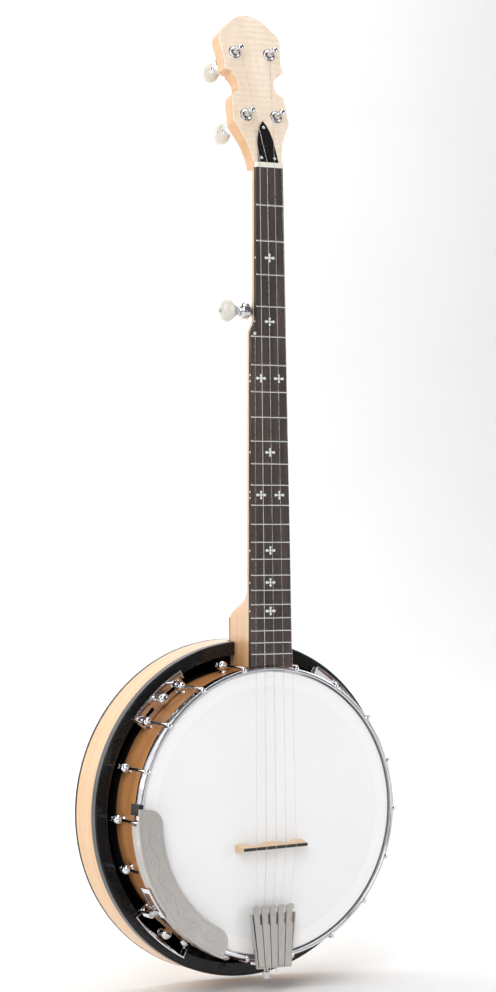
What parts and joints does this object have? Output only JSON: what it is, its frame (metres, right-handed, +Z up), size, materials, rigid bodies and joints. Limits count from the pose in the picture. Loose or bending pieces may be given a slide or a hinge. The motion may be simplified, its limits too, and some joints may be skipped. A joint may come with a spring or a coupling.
{
  "type": "five-string banjo",
  "caption": "Five-string banjo with a skin-type head on a bracketed pot, snap-off resonator, armrest, finger tailpiece and turning tuners.",
  "frame": {"origin": "centre of the flat middle of the resonator's back, on the pot's axis", "axes": "+Z up along the neck, +Y out of the resonator's back, so -Y is the playing side; +X to the treble side"},
  "size_m": [0.3354, 0.1162, 0.9613],
  "materials": {
    "rim_maple": "satin lacquer over laminated maple",
    "cast_metal": "cast bell metal, plated",
    "chrome": "polished",
    "frosted_head": "frosted white coating on polyester film",
    "satin_nickel": "satin nickel",
    "bridge_maple": "bare maple",
    "ebony": "oiled ebony",
    "maple": "satin lacquer",
    "pale_maple": "satin lacquer",
    "rosewood": "oiled dark wood",
    "fret_metal": "polished nickel silver",
    "pearl": "mother-of-pearl look",
    "bone": "polished bone",
    "steel": "plain",
    "brass": "plain",
    "black_plastic": "gloss black",
    "string_steel": "plain wire",
    "string_wound": "wound wire",
    "pearl_button": "pearloid",
    "side_maple": "satin lacquer outside, gloss black inside",
    "flamed_maple": "satin lacquer",
    "lug_steel": "black"
  },
  "bodies": {
    "instrument": {"rim": "rim_maple", "tone_ring": "cast_metal", "flesh_hoop": "chrome", "head_skin": "frosted_head", "tension_hoop": "chrome", "bracket_hooks": "chrome", "bracket_shoes": "chrome", "shoe_bolts": "chrome", "hook_nuts": "chrome", "flange_plates": "chrome", "coordinator_rods": "chrome", "coordinator_nuts": "chrome", "tailpiece_base": "satin_nickel", "tailpiece_fingers": "satin_nickel", "tailpiece_pins": "chrome", "tailpiece_bolt": "chrome", "bridge_base": "bridge_maple", "bridge_top": "ebony", "armrest_plate": "satin_nickel", "armrest_clamps": "chrome", "armrest_nuts": "chrome", "neck": "maple", "peghead_overlay": "pale_maple", "fingerboard": "rosewood", "frets": "fret_metal", "inlays": "pearl", "nut": "bone", "fifth_string_nut": "bone", "truss_rod": "steel", "truss_rod_cover": "black_plastic", "cover_screws": "chrome", "heel_cap": "black_plastic", "string_1": "string_steel", "string_2": "string_steel", "string_3": "string_steel", "string_4": "string_wound", "string_5": "string_steel", "tuner_housings": "chrome", "tuner_bushings": "chrome", "fifth_tuner_housing": "chrome"},
    "resonator": {"resonator_side": "side_maple", "resonator_back": "flamed_maple", "resonator_binding": "black_plastic", "resonator_lugs": "lug_steel"},
    "truss_nut": {"truss_rod_nut": "brass"},
    "post_1": {"tuner_post_1": "chrome"},
    "knob_1": {"tuner_knob_1": "pearl_button"},
    "post_2": {"tuner_post_2": "chrome"},
    "knob_2": {"tuner_knob_2": "pearl_button"},
    "post_3": {"tuner_post_3": "chrome"},
    "knob_3": {"tuner_knob_3": "pearl_button"},
    "post_4": {"tuner_post_4": "chrome"},
    "knob_4": {"tuner_knob_4": "pearl_button"},
    "post_5": {"tuner_post_5": "chrome"},
    "knob_5": {"tuner_knob_5": "pearl_button"},
    "screw_1": {"thumb_screw_1": "chrome"},
    "screw_2": {"thumb_screw_2": "chrome"},
    "screw_3": {"thumb_screw_3": "chrome"},
    "screw_4": {"thumb_screw_4": "chrome"}
  },
  "joints": [
    {"name": "knob_1_turn", "type": "hinge", "parent": "instrument", "child": "knob_1", "pos_m": [0.0196, -0.07519, 0.68962], "axis": [0, 0.9587, -0.2843], "continuous": true},
    {"name": "post_1_turn", "type": "hinge", "parent": "instrument", "child": "post_1", "pos_m": [0.0196, -0.07519, 0.68962], "axis": [0, 0.9587, -0.2843], "continuous": true},
    {"name": "knob_2_turn", "type": "hinge", "parent": "instrument", "child": "knob_2", "pos_m": [0.022, -0.05614, 0.75386], "axis": [0, 0.9587, -0.2843], "continuous": true},
    {"name": "post_2_turn", "type": "hinge", "parent": "instrument", "child": "post_2", "pos_m": [0.022, -0.05614, 0.75386], "axis": [0, 0.9587, -0.2843], "continuous": true},
    {"name": "knob_3_turn", "type": "hinge", "parent": "instrument", "child": "knob_3", "pos_m": [-0.0172, -0.05614, 0.75386], "axis": [0, 0.9587, -0.2843], "continuous": true},
    {"name": "post_3_turn", "type": "hinge", "parent": "instrument", "child": "post_3", "pos_m": [-0.0172, -0.05614, 0.75386], "axis": [0, 0.9587, -0.2843], "continuous": true},
    {"name": "knob_4_turn", "type": "hinge", "parent": "instrument", "child": "knob_4", "pos_m": [-0.0148, -0.07519, 0.68962], "axis": [0, 0.9587, -0.2843], "continuous": true},
    {"name": "post_4_turn", "type": "hinge", "parent": "instrument", "child": "post_4", "pos_m": [-0.0148, -0.07519, 0.68962], "axis": [0, 0.9587, -0.2843], "continuous": true},
    {"name": "knob_5_turn", "type": "hinge", "parent": "instrument", "child": "knob_5", "pos_m": [-0.0146, -0.08406, 0.49461], "axis": [-1, 0, 0], "continuous": true},
    {"name": "post_5_turn", "type": "hinge", "parent": "instrument", "child": "post_5", "pos_m": [-0.0146, -0.08406, 0.49461], "axis": [-1, 0, 0], "continuous": true},
    {"name": "thumb_screw_1_turn", "type": "hinge", "parent": "instrument", "child": "screw_1", "pos_m": [-0.10063, -0.06, 0.11325], "axis": [0, 1, 0], "continuous": true},
    {"name": "thumb_screw_2_turn", "type": "hinge", "parent": "instrument", "child": "screw_2", "pos_m": [0.10063, -0.06, 0.11325], "axis": [0, 1, 0], "continuous": true},
    {"name": "thumb_screw_3_turn", "type": "hinge", "parent": "instrument", "child": "screw_3", "pos_m": [-0.09662, -0.06, -0.11669], "axis": [0, 1, 0], "continuous": true},
    {"name": "thumb_screw_4_turn", "type": "hinge", "parent": "instrument", "child": "screw_4", "pos_m": [0.09662, -0.06, -0.11669], "axis": [0, 1, 0], "continuous": true},
    {"name": "truss_nut_turn", "type": "hinge", "parent": "instrument", "child": "truss_nut", "pos_m": [0.0024, -0.08181, 0.6456], "axis": [0, 0.0248, 0.9997], "range_deg": [-180, 180]},
    {"name": "resonator_pull_off", "type": "slide", "parent": "instrument", "child": "resonator", "axis": [0, 1, 0], "range_m": [0, 0.12]}
  ],
  "couplings": [
    {"joint": "post_1_turn", "follows": "knob_1_turn", "ratio": 0.25},
    {"joint": "post_2_turn", "follows": "knob_2_turn", "ratio": 0.25},
    {"joint": "post_3_turn", "follows": "knob_3_turn", "ratio": 0.25},
    {"joint": "post_4_turn", "follows": "knob_4_turn", "ratio": 0.25},
    {"joint": "post_5_turn", "follows": "knob_5_turn", "ratio": 0.25}
  ]
}
